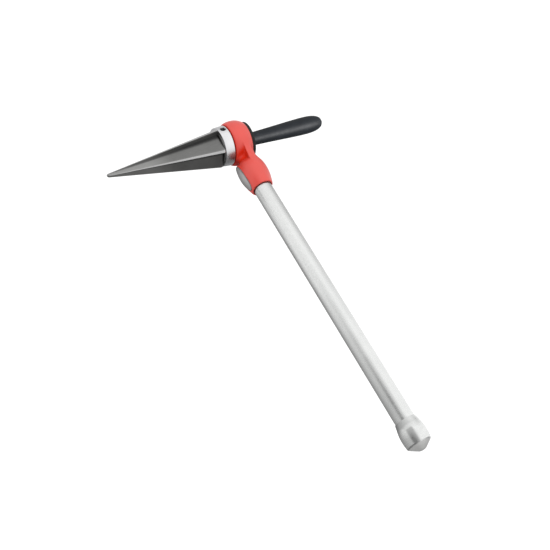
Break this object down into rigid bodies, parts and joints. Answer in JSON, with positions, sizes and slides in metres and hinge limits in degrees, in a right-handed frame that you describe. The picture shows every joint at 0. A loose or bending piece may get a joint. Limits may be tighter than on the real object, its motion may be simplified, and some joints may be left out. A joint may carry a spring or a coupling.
{
  "type": "ratcheting pipe reamer",
  "caption": "Hand pipe reamer: fluted steel cone in a red ratchet head, with a long tubular handle square to it and a black push grip behind.",
  "frame": {"origin": "centre of the small flat on the handle's end cap, on the handle's axis", "axes": "+Y along the handle from the end cap to the ratchet head; X parallel to the reamer's axis, with the cone's tip towards -X and the push grip towards +X; +Z square to both, so the tool lies on its side"},
  "size_m": [0.3496, 0.5527, 0.0666],
  "materials": {
    "cutter_steel": "ground tool steel, dark grey flutes with bright lands",
    "collar_silver": "bright zinc-plated, finely turned",
    "black_screw": "black oxide",
    "machined_steel": "machined",
    "spring_steel": "drawn wire",
    "red_paint": "semi-gloss red enamel on a casting",
    "bronze": "sintered bronze",
    "black_cover": "black, satin",
    "plate_silver": "matte silver, blank",
    "tube_silver": "satin silver plating",
    "grip_plastic": "black moulded, satin"
  },
  "bodies": {
    "head": {"ratchet_housing": "red_paint", "front_bush": "bronze", "rear_cover": "black_cover", "rear_cover_screw_1": "black_screw", "rear_cover_screw_2": "black_screw", "rear_cover_screw_3": "black_screw", "rear_bush": "bronze", "nameplate": "plate_silver", "spring_plug": "machined_steel", "pawl_spring": "spring_steel", "handle_tube": "tube_silver", "handle_end_cap": "tube_silver"},
    "rotor": {"reamer_cone": "cutter_steel", "drive_collar": "collar_silver", "collar_set_screw_1": "black_screw", "collar_set_screw_2": "black_screw", "spindle": "machined_steel", "drive_key": "machined_steel", "ratchet_wheel": "machined_steel", "wheel_retaining_ring": "spring_steel", "grip_washer": "machined_steel", "grip_screw": "black_screw"},
    "plunger": {"pawl": "machined_steel"},
    "push_grip": {"feed_grip": "grip_plastic", "grip_end_plug": "grip_plastic", "grip_sleeve": "bronze", "thrust_washer": "machined_steel"}
  },
  "joints": [
    {"name": "reamer_spin", "type": "hinge", "parent": "head", "child": "rotor", "pos_m": [0, 0.5194, 0], "axis": [-1, 0, 0], "continuous": true},
    {"name": "pawl_slide", "type": "slide", "parent": "head", "child": "plunger", "axis": [0, -1, 0], "range_m": [0, 0.0031], "stiffness_N_per_m": 700, "springref_m": -0.004, "deforming": ["pawl_spring"]},
    {"name": "grip_spin", "type": "hinge", "parent": "rotor", "child": "push_grip", "pos_m": [0.085, 0.5194, 0], "axis": [-1, 0, 0], "continuous": true}
  ]
}
